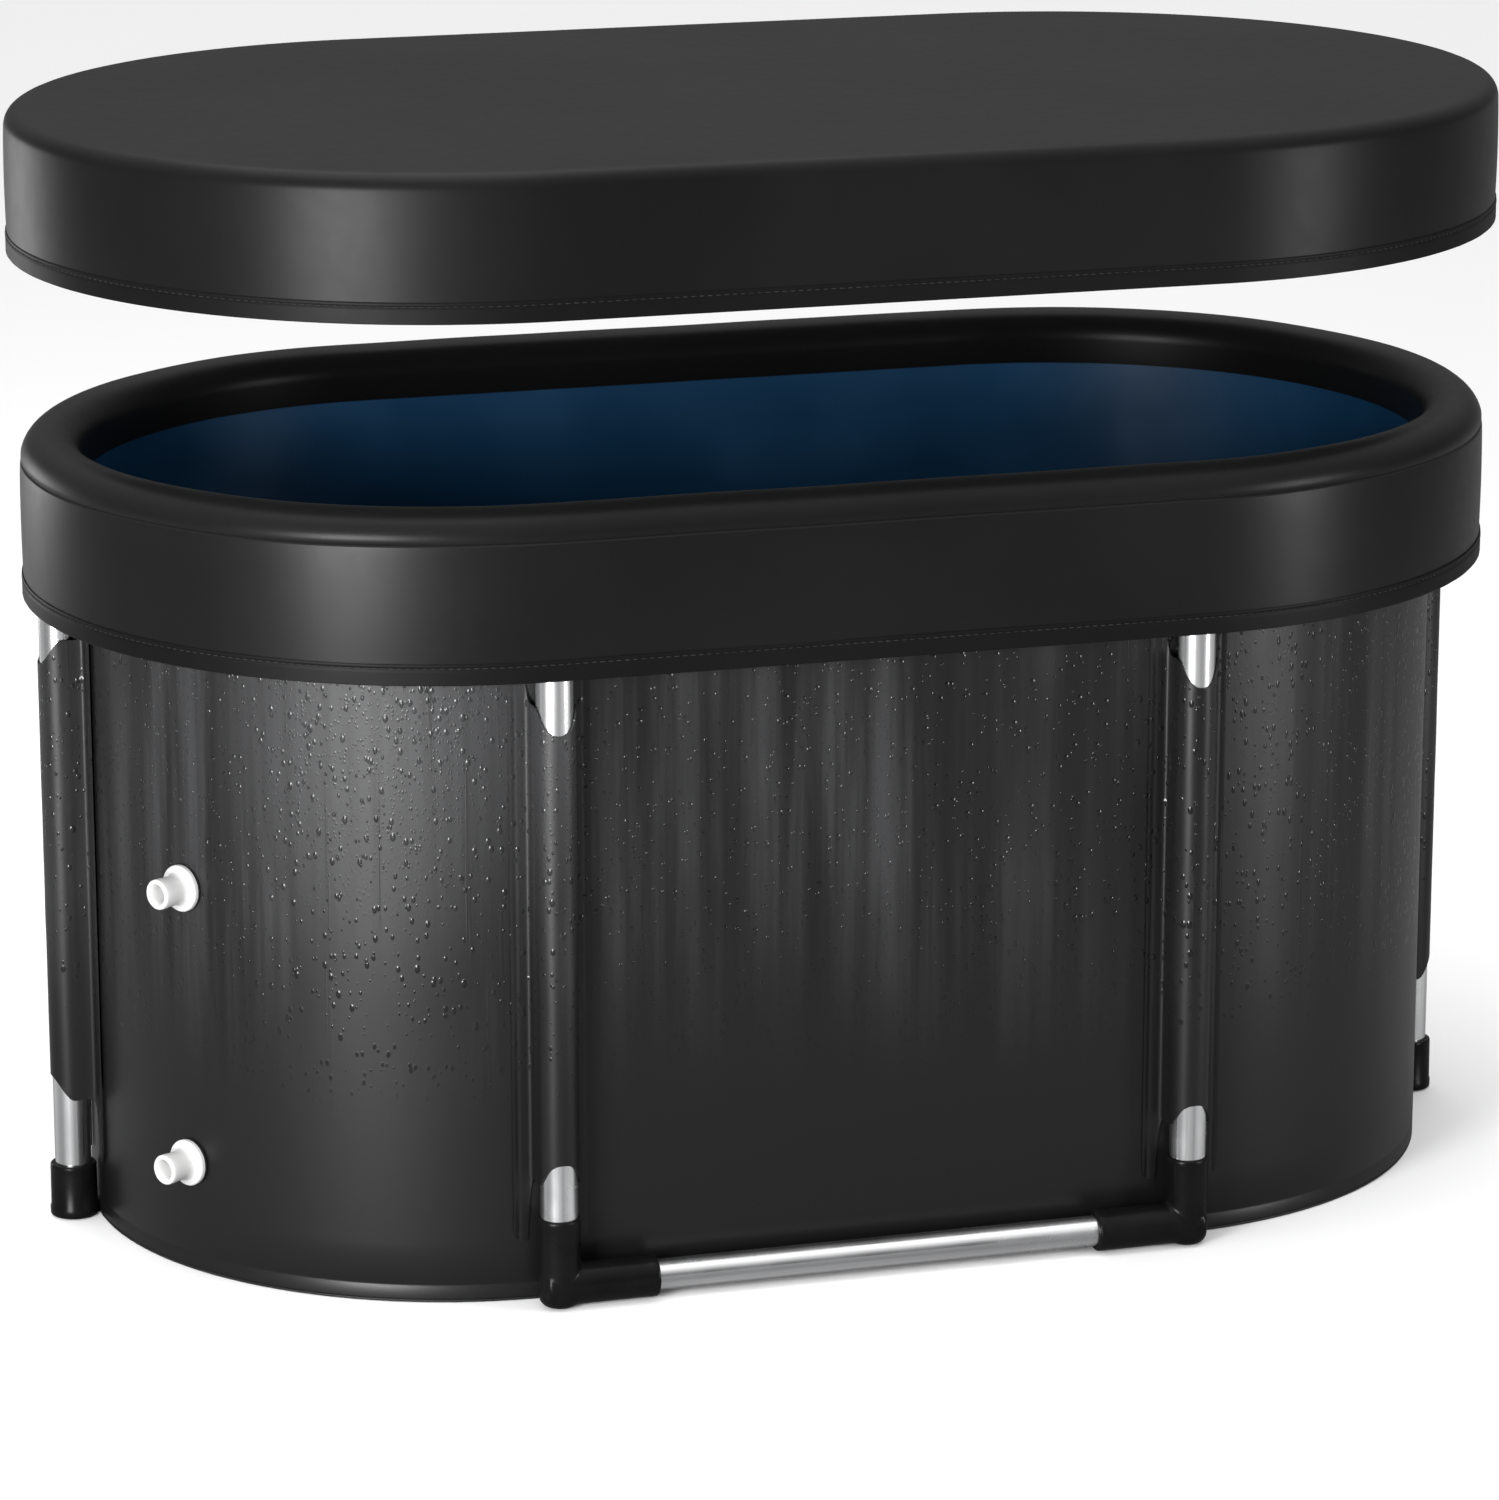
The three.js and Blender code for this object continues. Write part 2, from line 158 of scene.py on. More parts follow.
def bump(tree, height, kind, under=None):
    inputs = {"Height": height, "Distance": kind["depth"], "Strength": kind["strength"]}
    if under is not None:
        inputs["Normal"] = under
    return add(tree, "ShaderNodeBump", inputs).outputs["Normal"]


def startFinish(name, colour, roughness, gloss=0.5, metallic=0.0):
    finish = bpy.data.materials.new(name)
    finish.use_nodes = True
    shader = finish.node_tree.nodes["Principled BSDF"]
    shader.inputs["Base Color"].default_value = (*colour, 1)
    shader.inputs["Roughness"].default_value = roughness
    shader.inputs["Specular IOR Level"].default_value = gloss
    shader.inputs["Metallic"].default_value = metallic
    return finish, finish.node_tree, shader


def feed(tree, shader, socket, value):  # a value that varies over the surface
    tree.links.new(value, shader.inputs[socket])


def tint(tree, shader, value, span, dark, light):
    feed(tree, shader, "Base Color", blendColour(tree, ramp(tree, value, *span), dark, light))


def roughen(tree, shader, value, roughness, kind):
    ends = (roughness - kind["smoother"], roughness + kind["rougher"])
    feed(tree, shader, "Roughness", ramp(tree, value, *noiseSpan, *ends))


# camera and light

view = {"azimuth": -16.5, "distance": 5.0, "height": 1.70, "pitch": 15.24}
optics = {"sensor_width": 36, "lens": 147.5, "shift_x": -0.008, "shift_y": 0.011, "clip_end": 100}


def placeCamera():
    turn = math.radians(view["azimuth"])
    tilt = math.radians(view["pitch"])
    camera = put("camera", bpy.data.cameras.new("camera"))
    across, back = view["distance"] * math.sin(turn), -view["distance"] * math.cos(turn)
    camera.location = (across, back, view["height"])
    ahead = (-math.sin(turn) * math.cos(tilt), math.cos(turn) * math.cos(tilt), -math.sin(tilt))
    camera.rotation_euler = Vector(ahead).to_track_quat("-Z", "Y").to_euler()
    for key, value in optics.items():
        setattr(camera.data, key, value)
    bpy.context.scene.camera = camera


lamps = {  # metres and watts
    "leftStrip": {"at": (-1.80, -1.95, 0.62), "size": (0.84, 1.15), "power": 92},
    "rightStrip": {"at": (1.85, -1.75, 0.62), "size": (0.40, 1.15), "power": 24},
    "leftEdge": {"at": (-1.75, 2.20, 0.43), "size": (1.0, 0.80), "power": 8},
    "overhead": {"at": (-0.4, 0.2, 3.40), "size": (3.0, 2.4), "power": 40},
}
room = {"aim": (0, 0, 0.5), "horizon": 0.13, "zenith": 1.62, "backdrop": 0.82,
        "floorHalf": 30, "floorDrop": 0.0006, "floorRoughness": 0.9,
        "floorColour": (0.985, 0.985, 0.985), "bounceColour": (0.30, 0.30, 0.30)}


def hangLamps():
    for name, lamp in lamps.items():
        light = bpy.data.lights.new(name, "AREA")
        light.shape = "RECTANGLE"
        light.size, light.size_y = lamp["size"]
        light.energy = lamp["power"]
        holder = put(name, light)
        holder.location = lamp["at"]
        toward = Vector(room["aim"]) - Vector(lamp["at"])
        holder.rotation_euler = toward.to_track_quat("-Z", "Y").to_euler()
        holder.visible_camera = False


def paintRoom():  # brighter overhead, and plain and pale where the camera sees past the floor
    world = bpy.data.worlds.new("studio")
    world.use_nodes = True
    tree = world.node_tree
    around = add(tree, "ShaderNodeTexCoord").outputs["Generated"]
    rise = add(tree, "ShaderNodeSeparateXYZ", {"Vector": around}).outputs["Z"]
    rise = sums(tree, "MAXIMUM", rise, 0.0)
    span = {"Value": times(tree, rise, rise), "To Min": room["horizon"], "To Max": room["zenith"]}
    glow = add(tree, "ShaderNodeMapRange", span).outputs["Result"]
    seen = add(tree, "ShaderNodeLightPath").outputs["Is Camera Ray"]
    shader = tree.nodes["Background"]
    shader.inputs["Color"].default_value = (1, 1, 1, 1)
    feed(tree, shader, "Strength", blend(tree, "FLOAT", seen, glow, room["backdrop"]))
    bpy.context.scene.world = world


def layFloor():  # a pale sweep that throws little light back
    half, level = room["floorHalf"], -room["floorDrop"]
    mesh = bpy.data.meshes.new("floor")
    corners = [(-half, -half, level), (half, -half, level), (half, half, level), (-half, half, level)]
    mesh.from_pydata(corners, [], [(0, 1, 2, 3)])
    floor = put("floor", mesh)
    paint, tree, shader = startFinish("paleFloor", room["floorColour"], room["floorRoughness"])
    seen = add(tree, "ShaderNodeLightPath").outputs["Is Camera Ray"]
    feed(tree, shader, "Base Color", blendColour(tree, seen, room["bounceColour"], room["floorColour"]))
    mesh.materials.append(paint)
    floor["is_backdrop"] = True


placeCamera()
bpy.context.scene.view_settings.view_transform = "Standard"
hangLamps()
paintRoom()
layFloor()
print("camera and light set")


# finishes

cloth = {"thread": 0.0011, "weave": {"depth": 0.00003, "strength": 0.5}, "sheen": 0.008,
         "shade": {"scale": 4.0, "detail": 2.0}, "soft": {"depth": 0.0002, "strength": 0.25},
         "wear": {"scale": 60.0, "detail": 4.0}, "smoother": 0.01, "rougher": 0.015}
waveRate = 20  # radians that Blender's wave texture turns in one unit at scale 1


def coatedCloth(name, dark, light, roughness, gloss):
    finish, tree, shader = startFinish(name, dark, roughness, gloss)
    place = add(tree, "ShaderNodeTexCoord").outputs
    threads = {"Vector": place["UV"], "Scale": 2 * math.pi / (waveRate * cloth["thread"])}
    warp = add(tree, "ShaderNodeTexWave", threads, bands_direction="X").outputs["Fac"]
    weft = add(tree, "ShaderNodeTexWave", threads, bands_direction="Y").outputs["Fac"]
    shade = cloud(tree, place["Object"], cloth["shade"])
    wear = cloud(tree, place["Object"], cloth["wear"])
    tint(tree, shader, shade, noiseSpan, dark, light)
    roughen(tree, shader, wear, roughness, cloth)
    soft = bump(tree, shade, cloth["soft"])
    feed(tree, shader, "Normal", bump(tree, times(tree, warp, weft), cloth["weave"], soft))
    shader.inputs["Sheen Weight"].default_value = cloth["sheen"]
    return finish


# a span of four gives where a value starts and ends, and what it becomes there
wetSheet = {
    # the haze colour lightens the condensation mist, and also the painted highlight patch
    "dark": (0.0050, 0.0050, 0.0053), "hazeAndPaintedHighlight": (0.036, 0.0365, 0.038), "gloss": 0.33,
    "roughness": 0.35, "mistRoughness": 0.46, "mistFull": 0.6, "dryBelow": 0.13, "wetAbove": 0.36,
    "streak": {"stretch": (30, 1.1, 1), "detail": 5.0, "roughness": 0.6, "span": (0.36, 0.70)},
    "patch": {"stretch": (4.2, 1.9, 1), "detail": 3.0, "span": (0.34, 0.64, 0.15, 1.0)},
    "trail": {"stretch": (85, 2.2, 1), "detail": 3.0, "span": (0.63, 0.72), "dark": 0.6,
              "depth": 0.0003, "strength": 0.5},
    "ripple": {"stretch": (5, 1.2, 1), "detail": 2.0, "depth": 0.004, "strength": 0.2},
    # painted highlight: the fog patch lightens the haze on the upper side that faces the left lamp, in
    # place of that lamp's broad highlight
    "paintedHighlightHaze": {"side": (-0.42, -0.906, 0.0), "reach": (0.374, 0.416), "height": (0.22, 0.50),
            "trails": (0.40, 0.62, 1.0, 0.7)},
}
beads = {"stretch": (1, 0.72, 1), "spread": (0.0, 1.0, 0.6, 1.5), "mistShare": 0.15,
         "depth": 0.00065, "strength": 0.9, "clear": (0.0, 0.2, 1.0, 0.3), "mistOnly": 0.004,
         "sizes": ({"cell": 0.0086, "core": 0.07, "rim": 0.20, "rare": 0.34, "tall": 1.0},
                   {"cell": 0.0058, "core": 0.09, "rim": 0.26, "rare": 0.34, "tall": 0.7},
                   {"cell": 0.0026, "core": 0.12, "rim": 0.36, "rare": 0.35, "tall": 0.25})}


def waterBeads(tree, across, mistAndPaintedHighlight):
    across = stretch(tree, across, beads["stretch"])
    drops = None
    for size in beads["sizes"]:
        cells = {"Vector": across, "Scale": 1 / size["cell"], "Randomness": 1.0}
        spots = add(tree, "ShaderNodeTexVoronoi", cells)
        chance = add(tree, "ShaderNodeSeparateColor", {"Color": spots.outputs["Color"]}).outputs
        wide = times(tree, ramp(tree, chance["Green"], *beads["spread"]), spots.outputs["Distance"])
        dome = ramp(tree, wide, size["core"], size["rim"], 1.0, 0.0)
        if size["cell"] < beads["mistOnly"]:  # the finest beads stand in the mist alone
            there = times(tree, sums(tree, "GREATER_THAN", chance["Red"], size["rare"]), mistAndPaintedHighlight)
        else:
            likely = sums(tree, "ADD", chance["Red"], times(tree, mistAndPaintedHighlight, beads["mistShare"]))
            there = sums(tree, "GREATER_THAN", likely, size["rare"])
        dome = times(tree, dome, there, size["tall"])
        drops = dome if drops is None else sums(tree, "MAXIMUM", drops, dome)
    return drops


def wetCoatedSheet(name):
    dark, roughness, trails, paintedHighlightHaze = (wetSheet[key] for key in ("dark", "roughness", "trail", "paintedHighlightHaze"))
    finish, tree, shader = startFinish(name, dark, roughness, wetSheet["gloss"])
    place = add(tree, "ShaderNodeTexCoord").outputs
    across, solid = place["UV"], place["Object"]
    height = add(tree, "ShaderNodeSeparateXYZ", {"Vector": solid}).outputs["Z"]
    wet = ramp(tree, height, wetSheet["dryBelow"], wetSheet["wetAbove"])
    streak = ramp(tree, cloud(tree, across, wetSheet["streak"]), *wetSheet["streak"]["span"])
    patch = ramp(tree, cloud(tree, across, wetSheet["patch"]), *wetSheet["patch"]["span"])
    trail = cloud(tree, across, trails)
    # painted highlight: lighter haze on the side facing the left lamp, higher up, broken by the trails
    side = add(tree, "ShaderNodeVectorMath", {0: solid, 1: paintedHighlightHaze["side"]}, operation="DOT_PRODUCT")
    paintedHighlightMist = times(tree, ramp(tree, side.outputs["Value"], *paintedHighlightHaze["reach"]),
                   ramp(tree, height, *paintedHighlightHaze["height"]), ramp(tree, trail, *paintedHighlightHaze["trails"]))
    # the mist holds both the condensation streaks and the painted highlight patch
    mistAndPaintedHighlight = sums(tree, "MAXIMUM", times(tree, streak, patch, wet), paintedHighlightMist)
    run = times(tree, ramp(tree, trail, *trails["span"]), wet)
    drops = times(tree, waterBeads(tree, across, mistAndPaintedHighlight), wet)
    shade = blendColour(tree, mistAndPaintedHighlight, dark, wetSheet["hazeAndPaintedHighlight"])
    shade = blendColour(tree, times(tree, run, trails["dark"]), shade, dark)
    feed(tree, shader, "Base Color", shade)
    dull = ramp(tree, mistAndPaintedHighlight, 0.0, wetSheet["mistFull"], roughness, wetSheet["mistRoughness"])
    clear = ramp(tree, drops, *beads["clear"])  # a bead is glossier than the sheet
    feed(tree, shader, "Roughness", times(tree, dull, clear))
    form = bump(tree, cloud(tree, across, wetSheet["ripple"]), wetSheet["ripple"])
    form = bump(tree, run, trails, form)
    feed(tree, shader, "Normal", bump(tree, drops, beads, form))
    return finish


plainSheet = {"shade": {"scale": 7.0, "detail": 4.0}, "span": (0.3, 0.72), "smoother": 0.05,
              "rougher": 0.08, "soft": {"depth": 0.003, "strength": 0.3},
              "grain": {"scale": 700.0, "detail": 2.0, "depth": 0.0001, "strength": 0.4}}


def smoothSheet(name, dark, light, roughness, gloss):
    finish, tree, shader = startFinish(name, dark, roughness, gloss)
    place = add(tree, "ShaderNodeTexCoord").outputs["Object"]
    shade = cloud(tree, place, plainSheet["shade"])
    grain = cloud(tree, place, plainSheet["grain"])
    tint(tree, shader, shade, plainSheet["span"], dark, light)
    roughen(tree, shader, shade, roughness, plainSheet)
    soft = bump(tree, shade, plainSheet["soft"])
    feed(tree, shader, "Normal", bump(tree, grain, plainSheet["grain"], soft))
    return finish


steelTube = {"dark": (0.58, 0.585, 0.595), "light": (0.96, 0.965, 0.975), "roughness": (0.17, 0.30),
             # the streaks are partly drawn-tube marks and partly painted reflection: dark and bright bands
             # along the tube
             "streak": {"stretch": (110, 0.5, 1), "detail": 2.0, "span": (0.36, 0.62)},
             "smear": {"scale": 18.0, "detail": 3.0, "span": (0.3, 0.75)},
             "line": {"stretch": (900, 12, 1), "detail": 3.0, "depth": 0.00004, "strength": 0.35}}


def polishedSteel(name):
    dark, light, roughness = steelTube["dark"], steelTube["light"], steelTube["roughness"]
    finish, tree, shader = startFinish(name, dark, roughness[0], metallic=1.0)
    place = add(tree, "ShaderNodeTexCoord").outputs
    lines = cloud(tree, place["UV"], steelTube["line"])
    marksAndPaintedReflections = cloud(tree, place["UV"], steelTube["streak"])
    smear = cloud(tree, place["Object"], steelTube["smear"])
    feed(tree, shader, "Roughness", ramp(tree, smear, *steelTube["smear"]["span"], *roughness))
    # base colour banded along the tube: drawn marks and painted reflection streaks
    tint(tree, shader, marksAndPaintedReflections, steelTube["streak"]["span"], dark, light)
    feed(tree, shader, "Normal", bump(tree, lines, steelTube["line"]))
    return finish


plastic = {"shade": {"scale": 25.0, "detail": 3.0}, "smoother": 0.04, "rougher": 0.07,
           "grain": {"detail": 2.0, "depth": 0.00008, "strength": 0.45}}


def mouldedPlastic(name, dark, light, roughness, gloss, grainScale):
    finish, tree, shader = startFinish(name, dark, roughness, gloss)
    place = add(tree, "ShaderNodeTexCoord").outputs["Object"]
    grain = cloud(tree, place, plastic["grain"], grainScale)
    shade = cloud(tree, place, plastic["shade"])
    tint(tree, shader, shade, noiseSpan, dark, light)
    roughen(tree, shader, shade, roughness, plastic)
    feed(tree, shader, "Normal", bump(tree, grain, plastic["grain"]))
    return finish


foam = {"middle": (0.62, 0.64, 0.65), "edge": (0.46, 0.48, 0.50), "roughness": 0.85,
        "cellScale": 420.0, "span": (0.1, 0.7), "depth": 0.0004, "strength": 0.5}


def closedCellFoam(name):
    finish, tree, shader = startFinish(name, foam["middle"], foam["roughness"])
    place = add(tree, "ShaderNodeTexCoord").outputs["Object"]
    cells = add(tree, "ShaderNodeTexVoronoi", {"Vector": place, "Scale": foam["cellScale"]})
    cells = cells.outputs["Distance"]
    tint(tree, shader, cells, foam["span"], foam["middle"], foam["edge"])
    feed(tree, shader, "Normal", bump(tree, cells, foam))
    return finish


# dark, light, roughness, gloss, and the grain's scale for the plastics
clothKinds = {
    "lidCloth": ((0.0046, 0.0045, 0.0047), (0.0070, 0.0069, 0.0071), 0.37, 0.115),
    "collarCloth": ((0.0046, 0.0046, 0.0048), (0.0068, 0.0068, 0.0070), 0.35, 0.135),
    "hemCloth": ((0.0034, 0.0034, 0.0035), (0.0048, 0.0048, 0.0049), 0.46, 0.09),
}
sheetKinds = {
    "baseSheet": ((0.007, 0.007, 0.007), (0.012, 0.012, 0.013), 0.5, 0.3),
    "linerSheet": ((0.0075, 0.047, 0.112), (0.0115, 0.065, 0.150), 0.34, 0.4),
}
plasticKinds = {
    "jointPlastic": ((0.0032, 0.0032, 0.0034), (0.0048, 0.0048, 0.0051), 0.26, 0.11, 1100.0),
    "portPlastic": ((0.54, 0.54, 0.537), (0.59, 0.59, 0.586), 0.34, 0.5, 1100.0),
    "rubber": ((0.010, 0.010, 0.010), (0.016, 0.016, 0.016), 0.72, 0.3, 500.0),
    "thread": ((0.010, 0.010, 0.011), (0.022, 0.022, 0.023), 0.6, 0.2, 2500.0),
}
finishes = {
    "wallSheet": wetCoatedSheet("wallSheet"),
    "foam": closedCellFoam("foam"),
    "steel": polishedSteel("steel"),
}
for maker, kinds in ((coatedCloth, clothKinds), (smoothSheet, sheetKinds), (mouldedPlastic, plasticKinds)):
    for kind, values in kinds.items():
        finishes[kind] = maker(kind, *values)
print("finishes made:", len(finishes))


# making meshes

mergeWithin = 1e-6


def makePiece(name, vertices, faces, uvs, sharp):
    mesh = bpy.data.meshes.new(name)
    mesh.from_pydata(vertices, [], faces)
    layer = mesh.uv_layers.new(name="cut")
    for loop, uv in zip(layer.data, uvs):
        loop.uv = uv
    work = bmesh.new()
    work.from_mesh(mesh)
    bmesh.ops.remove_doubles(work, verts=work.verts, dist=mergeWithin)
    bmesh.ops.recalc_face_normals(work, faces=work.faces)
    work.to_mesh(mesh)
    work.free()
    smooth(mesh, sharp)
    return put(name, mesh)


def smooth(mesh, sharp):  # shaded smooth, with edges past this many degrees kept
    mesh.shade_smooth()
    mesh.set_sharp_from_angle(angle=math.radians(sharp))


def baked(piece):  # its mesh, with the modifiers worked in
    graph = bpy.context.evaluated_depsgraph_get()
    return bpy.data.meshes.new_from_object(piece.evaluated_get(graph), depsgraph=graph)


def settle(piece):
    mesh, old = baked(piece), piece.data
    piece.modifiers.clear()
    piece.data = mesh
    mesh.name = piece.name
    bpy.data.meshes.remove(old)


def combine(piece, other, operation):
    tool = piece.modifiers.new("join", "BOOLEAN")
    tool.operation = operation
    tool.solver = "EXACT"
    tool.object = other
    settle(piece)
    bpy.data.objects.remove(other)


def fit(piece, body, slot, finish, *nodes):
    piece.data.materials.clear()
    piece.data.materials.append(finishes[finish])
    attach(piece, body)
    if nodes:
        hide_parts(*nodes)
    return piece


def ovalStops(straightSteps, arcSteps):  # a point on the middle line and the way out from it, all round
    stops = []
    for side, quarter in ((1, -0.5), (-1, 0.5)):
        for i in range(straightSteps):
            stops.append((side * (2 * halfStraight * i / straightSteps - halfStraight), 0.0, -side))
        for i in range(arcSteps):
            turn = math.pi * (i / arcSteps + quarter)
            stops.append((side * halfStraight, math.cos(turn), math.sin(turn)))
    return stops


def at(stop, radius):  # the place this far out from the middle line
    baseX, outX, outY = stop
    return baseX + outX * radius, outY * radius


def wrapProfile(profile, places):  # faces and UVs of a closed profile carried once round
    across = [0.0]
    for (r0, z0), (r1, z1) in zip(profile, profile[1:] + profile[:1]):
        across.append(across[-1] + math.hypot(r1 - r0, z1 - z0))
    faces, uvs = [], []
    count, copies = len(profile), len(places) - 1
    for j in range(copies):
        k = (j + 1) % copies
        u0, u1 = places[j], places[j + 1]
        for i in range(count):
            m = (i + 1) % count
            if profile[i][0] == 0 and profile[m][0] == 0:  # nothing stands on the middle line
                continue
            faces.append((j * count + i, k * count + i, k * count + m, j * count + m))
            uvs += [(u0, across[i]), (u1, across[i]), (u1, across[i + 1]), (u0, across[i + 1])]
    return faces, uvs


def ovalShell(name, profile, steps, shape, sharp):  # shape moves each point of the profile
    stops = ovalStops(*steps)
    vertices = []
    for stop in stops:
        for radius, height in profile:
            spread, height = shape(stop, radius, height)
            vertices.append((*at(stop, spread if radius else 0.0), height))
    rim = [Vector(at(stop, collarRadius)) for stop in stops]
    places = [0.0]
    for here, there in zip(rim, rim[1:] + rim[:1]):
        places.append(places[-1] + (there - here).length)
    return makePiece(name, vertices, *wrapProfile(profile, places), sharp)


def turned(name, profile, place, sides, sharp=35):
    vertices = []
    for j in range(sides):
        turn = 2 * math.pi * j / sides
        for radius, height in profile:
            vertices.append(place @ Vector((radius * math.cos(turn), radius * math.sin(turn), height)))
    lap = 2 * math.pi * max(radius for radius, height in profile)
    places = [lap * j / sides for j in range(sides + 1)]
    return makePiece(name, vertices, *wrapProfile(profile, places), sharp)


def bow(centreR, centreZ, radius, start, end, steps):  # an arc, ends and all
    points = []
    for i in range(steps + 1):
        turn = math.radians(start + (end - start) * i / steps)
        points.append((centreR + radius * math.cos(turn), centreZ + radius * math.sin(turn)))
    return points


def line(first, second, steps):  # points between two corners, ends left out
    (r0, z0), (r1, z1) = first, second
    return [(r0 + (r1 - r0) * i / steps, z0 + (z1 - z0) * i / steps) for i in range(1, steps)]


def softNoise(x, y, z, size):
    return noise.noise(Vector((x, y, z)) / size)


def softShare(x, y, z, size):  # the same, from 0 to 1
    return 0.5 + 0.5 * softNoise(x, y, z, size)


def within(share):
    return max(0.0, min(1.0, share))


# spouts, whose places cut the wall

port = {"turn": 212, "bore": 0.00675, "hole": 0.0126, "spoutRadius": 0.012, "spoutLength": 0.024,
        "flangeRadius": 0.019, "flangeThick": 0.004, "flangeRound": 0.0018, "offWall": 0.0022,
        "stemLong": 0.0235, "stemTaper": 0.0008, "shoulder": 0.0165, "shoulderLong": 0.007,
        "shoulderStep": ((0.0, 0.0003), (0.0009, 0.0008)), "hollowIn": 0.0012, "hollowUp": 0.0010,
        "waist": ((-0.0001, 0.0100), (0.0003, 0.0060)), "lipOut": 0.0003, "lipRound": 0.0020,
        "mouth": ((0.0026, 0.0), (0.0018, 0.0008), (0.0006, 0.0040), (0.0, 0.0070)),
        "cutReach": 0.03, "sides": 64, "cutSides": 40, "roundSteps": 6, "roundEnd": 84}
ports = ["upper", "drain"]
portTurn = math.radians(port["turn"])
portOut = Vector((math.cos(portTurn), math.sin(portTurn), 0))
wallRadius = outerRadius("outer_wall")


def portPlace(name):  # local Z runs out through the wall from the end's centre line
    start = Matrix.Translation((-halfStraight, 0, middleOf(name + "_spout").z))
    return start @ portOut.to_track_quat("Z", "Y").to_matrix().to_4x4()


def spoutProfile():
    r, b, steps = port["spoutRadius"], port["bore"], port["roundSteps"]
    flangeStart = wallRadius + port["offWall"]
    flangeEnd = flangeStart + port["flangeThick"]
    end = flangeEnd + port["spoutLength"]
    stem = (r - port["stemTaper"], wallRadius - port["stemLong"])
    profile = [(b, stem[1]), stem] + line(stem, (r, flangeStart), steps=3)
    profile += [(r, flangeStart), (port["flangeRadius"], flangeStart)]
    edge = port["flangeRound"]
    profile += bow(port["flangeRadius"] - edge, flangeEnd - edge, edge, 0, port["roundEnd"], steps)
    profile += [(port["shoulder"] - inward, flangeEnd + up) for inward, up in port["shoulderStep"]]
    wide, start = port["shoulder"] - port["hollowIn"], flangeEnd + port["hollowUp"]
    rise = port["shoulderLong"] - port["hollowUp"]
    for i in range(1, steps + 1):  # hollow shoulder down to the spout
        turn = math.pi / 2 * i / steps
        profile.append((wide - (wide - r) * math.sin(turn), start + rise * (1 - math.cos(turn))))
    profile += [(r + wider, end - back) for wider, back in port["waist"]]
    lip = port["lipRound"]
    profile += bow(r + port["lipOut"] - lip, end - lip, lip, 0, 90, steps)
    profile += [(b + wider, end - back) for wider, back in port["mouth"]]
    return profile


def makeSpouts():
    for name in ports:
        piece = turned(name + "Spout", spoutProfile(), portPlace(name), port["sides"], sharp=30)
        fit(piece, "tub", "port_plastic", "portPlastic", name + "_spout")


def cutPorts(piece):  # a round hole through a sheet for each spout
    hole, start, end = port["hole"], wallRadius - port["cutReach"], wallRadius + port["cutReach"]
    for name in ports:
        profile = [(0, start), (hole, start), (hole, end), (0, end)]
        combine(piece, turned("cutter", profile, portPlace(name), port["cutSides"]), "DIFFERENCE")
    smooth(piece.data, sharp=40)


makeSpouts()
print("spouts made")


# lid

lid = {"edge": 0.014, "fabric": 0.002, "crown": 0.003, "crownSteps": 14, "sag": 0.0010, "sagSize": 0.22,
       "swell": 0.0012, "slack": 0.0003, "slackSize": 0.2, "tight": 0.85, "steps": (44, 72)}


def makeLid():
    outer, low, top = outerRadius("lid_cover"), bottomOf("lid_cover"), topOf("lid_cover") - lid["crown"]
    edge, thick = lid["edge"], lid["fabric"]
    crown = []
    for i in range(1, lid["crownSteps"] + 1):
        share = i / lid["crownSteps"]
        crown.append(((outer - edge) * (1 - share), top + lid["crown"] * math.sin(share * math.pi / 2)))
    outside = [(outer, low)] + line((outer, low), (outer, top - edge), steps=12)
    outside += bow(outer - edge, top - edge, edge, 0, 90, steps=10) + crown
    inside = [(radius, height - thick) for radius, height in reversed(crown)]
    inside += bow(outer - edge, top - edge, edge - thick, 90, 0, steps=8)
    inside += line((outer - thick, top - edge), (outer - thick, low), steps=8) + [(outer - thick, low)]

    def shape(stop, radius, height):
        x, y = at(stop, radius)
        if radius > outer - edge - thick:
            rise = within((height - low) / (top - low))
            swell = lid["swell"] * math.sin(math.pi * rise)
            swell += lid["slack"] * softNoise(x, y, height, lid["slackSize"])
            radius += swell * (1 - max(0.0, (rise - lid["tight"]) / (1 - lid["tight"])))
        else:
            height += lid["sag"] * softNoise(x, y, 0.0, lid["sagSize"])
        return radius, height

    cover = ovalShell("lidCover", outside + inside, lid["steps"], shape, sharp=50)
    return fit(cover, "lid", "lid_fabric", "lidCloth", "lid_cover")


lidPad = {"skin": 0.0006, "roundIn": 0.0004, "rings": (0.2, 0.4, 0.6, 0.75, 0.88), "quilt": 0.0008,
          "quiltSize": 0.07, "quiltSlice": 1.0, "quiltRise": 0.25, "steps": (44, 60)}


def makeLidPad():
    node = "lid_insulation_pad"
    outer, low, top = outerRadius(node), bottomOf(node), topOf(node)
    half = (top - low) / 2
    under, over = low + lidPad["skin"], top - lidPad["skin"]
    profile = [(0.0, under)] + [(outer * share, under) for share in lidPad["rings"]]
    profile += bow(outer - half, low + half, half - lidPad["roundIn"], -90, 90, steps=10)
    profile += [(outer * share, over) for share in reversed(lidPad["rings"])] + [(0.0, over)]

    def shape(stop, radius, height):
        if height < low + (top - low) * lidPad["quiltRise"]:
            x, y = at(stop, radius)
            height += lidPad["quilt"] * softShare(x, y, lidPad["quiltSlice"], lidPad["quiltSize"])
        return radius, height

    pad = ovalShell("lidPad", profile, lidPad["steps"], shape, sharp=40)
    fit(pad, "lid", "foam", "foam", node)


# hem bands, with a pressed groove under the stitches: how far in, and how far below the top
hem = {"thick": 0.0012, "fold": (0.0005, 0.0006), "rim": ((0.0, 0.0008), (0.0004, 0.0)),
       "groove": ((0.0, 0.0045), (0.0004, 0.0038), (0.0004, 0.0030), (0.0, 0.0023)),
       "fullness": 0.00025, "fullnessSize": 0.05, "fullnessSlice": 3.0, "steps": (60, 90)}


